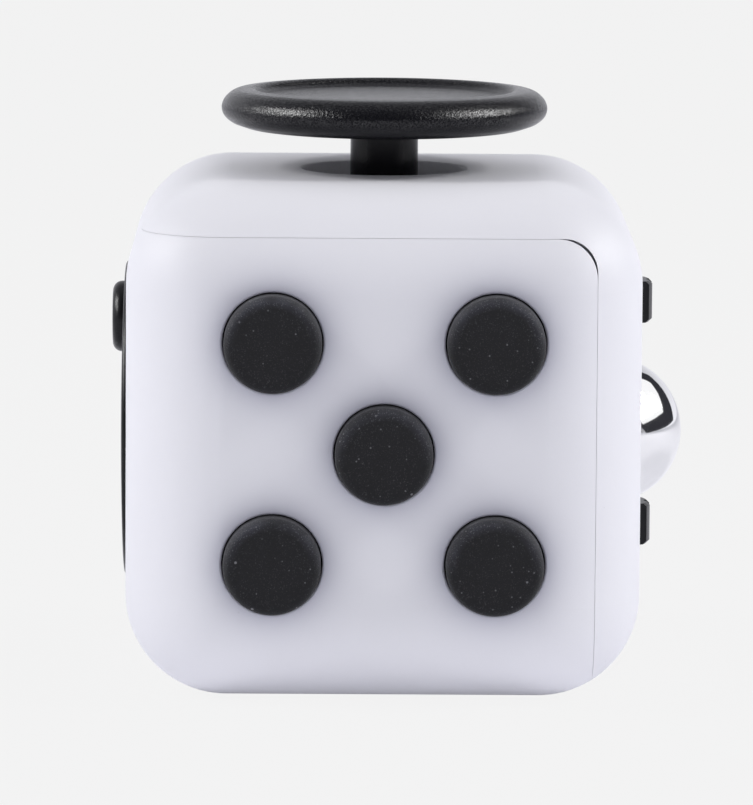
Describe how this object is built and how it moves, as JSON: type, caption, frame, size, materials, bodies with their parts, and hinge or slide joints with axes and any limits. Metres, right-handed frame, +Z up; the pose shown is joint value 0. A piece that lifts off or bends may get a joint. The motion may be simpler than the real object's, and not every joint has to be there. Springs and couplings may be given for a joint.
{
  "type": "fidget cube",
  "caption": "Rounded white desk fidget cube with black push buttons, a tilting joystick disc, a spin dial, a chrome roller ball with ridged wheels, a rocker and a thumb dish.",
  "frame": {"origin": "centre of the square case in X and Y, on the plane of the bottom face it stands on", "axes": "+Z up through the joystick; -Y is the face with the push buttons; -X the spin dial; +X the roller ball and ridged wheels; +Y the rocker"},
  "size_m": [0.037, 0.0367, 0.0382],
  "materials": {
    "case": "satin ABS, faint bluish white",
    "button_rubber": "matte",
    "stick_black": "fine-grained satin",
    "dial_black": "satin",
    "ball_chrome": "polished",
    "gear_black": "satin",
    "rocker_black": "satin",
    "module_grey": "moulded",
    "inner_black": "moulded",
    "silicone": "translucent matte",
    "spring_steel": "bright",
    "screw_steel": "plated"
  },
  "bodies": {
    "case": {"front_shell": "case", "rear_shell": "case", "button_backplate": "module_grey", "backplate_screws": "screw_steel", "snap_dome_upper_left": "spring_steel", "snap_dome_centre": "spring_steel", "snap_dome_lower_right": "spring_steel", "soft_dome_upper_right": "silicone", "soft_dome_lower_left": "silicone", "joystick_housing": "module_grey", "joystick_screws": "screw_steel", "joystick_spring": "spring_steel", "dial_bush": "module_grey", "ball_housing": "module_grey", "ball_dome": "spring_steel", "ball_screws": "screw_steel", "gear_cradle": "module_grey", "gear_axle": "screw_steel", "gear_click_springs": "spring_steel", "cradle_screws": "screw_steel", "rocker_housing": "module_grey", "rocker_pin": "screw_steel", "rocker_leaf": "spring_steel", "rocker_screws": "screw_steel"},
    "gimbal": {"gimbal_ring": "module_grey"},
    "stick": {"joystick_cap": "stick_black", "joystick_stem": "inner_black", "joystick_skirt": "inner_black"},
    "dial": {"dial_disc": "dial_black", "dial_washer": "screw_steel", "dial_screw": "screw_steel"},
    "ball_carriage": {"ball_cup": "module_grey"},
    "ball": {"roller_ball": "ball_chrome"},
    "rocker": {"rocker_paddle": "rocker_black"},
    "button_upper_left": {"button_upper_left": "button_rubber"},
    "button_upper_right": {"button_upper_right": "button_rubber"},
    "button_centre": {"button_centre": "button_rubber"},
    "button_lower_left": {"button_lower_left": "button_rubber"},
    "button_lower_right": {"button_lower_right": "button_rubber"},
    "gear_upper": {"gear_upper": "gear_black"},
    "gear_middle": {"gear_middle": "gear_black"},
    "gear_lower": {"gear_lower": "gear_black"}
  },
  "joints": [
    {"name": "press_upper_left", "type": "slide", "parent": "case", "child": "button_upper_left", "axis": [0, 1, 0], "range_m": [0, 0.00055], "stiffness_N_per_m": 900, "deforming": ["snap_dome_upper_left"]},
    {"name": "press_upper_right", "type": "slide", "parent": "case", "child": "button_upper_right", "axis": [0, 1, 0], "range_m": [0, 0.0012], "stiffness_N_per_m": 400, "deforming": ["soft_dome_upper_right"]},
    {"name": "press_centre", "type": "slide", "parent": "case", "child": "button_centre", "axis": [0, 1, 0], "range_m": [0, 0.00055], "stiffness_N_per_m": 900, "deforming": ["snap_dome_centre"]},
    {"name": "press_lower_left", "type": "slide", "parent": "case", "child": "button_lower_left", "axis": [0, 1, 0], "range_m": [0, 0.0012], "stiffness_N_per_m": 400, "deforming": ["soft_dome_lower_left"]},
    {"name": "press_lower_right", "type": "slide", "parent": "case", "child": "button_lower_right", "axis": [0, 1, 0], "range_m": [0, 0.00055], "stiffness_N_per_m": 900, "deforming": ["snap_dome_lower_right"]},
    {"name": "stick_tilt_fore_aft", "type": "hinge", "parent": "case", "child": "gimbal", "pos_m": [0, 0, 0.024], "axis": [1, 0, 0], "range_deg": [-9, 9], "stiffness_Nm_per_rad": 0.02, "deforming": ["joystick_spring"]},
    {"name": "stick_tilt_sideways", "type": "hinge", "parent": "gimbal", "child": "stick", "pos_m": [0, 0, 0.024], "axis": [0, 1, 0], "range_deg": [-9, 9], "stiffness_Nm_per_rad": 0.02, "deforming": ["joystick_spring"]},
    {"name": "dial_spin", "type": "hinge", "parent": "case", "child": "dial", "pos_m": [-0.0165, 0, 0.0165], "axis": [-1, 0, 0], "continuous": true},
    {"name": "ball_press", "type": "slide", "parent": "case", "child": "ball_carriage", "axis": [-1, 0, 0], "range_m": [0, 0.0005], "stiffness_N_per_m": 1200, "deforming": ["ball_dome"]},
    {"name": "ball_roll", "type": "hinge", "parent": "ball_carriage", "child": "ball", "pos_m": [0.01462, -0.0033, 0.01633], "axis": [0, 0, 1], "continuous": true},
    {"name": "gear_turn_upper", "type": "hinge", "parent": "case", "child": "gear_upper", "pos_m": [0.01387, 0.0064, 0.02373], "axis": [0, 0, 1], "continuous": true, "deforming": ["gear_click_springs"]},
    {"name": "gear_turn_middle", "type": "hinge", "parent": "case", "child": "gear_middle", "pos_m": [0.01387, 0.0064, 0.01633], "axis": [0, 0, 1], "continuous": true, "deforming": ["gear_click_springs"]},
    {"name": "gear_turn_lower", "type": "hinge", "parent": "case", "child": "gear_lower", "pos_m": [0.01387, 0.0064, 0.00893], "axis": [0, 0, 1], "continuous": true, "deforming": ["gear_click_springs"]},
    {"name": "rocker_flip", "type": "hinge", "parent": "case", "child": "rocker", "pos_m": [0, 0.0132, 0.0165], "axis": [-1, 0, 0], "range_deg": [0, 18], "deforming": ["rocker_leaf"]}
  ]
}
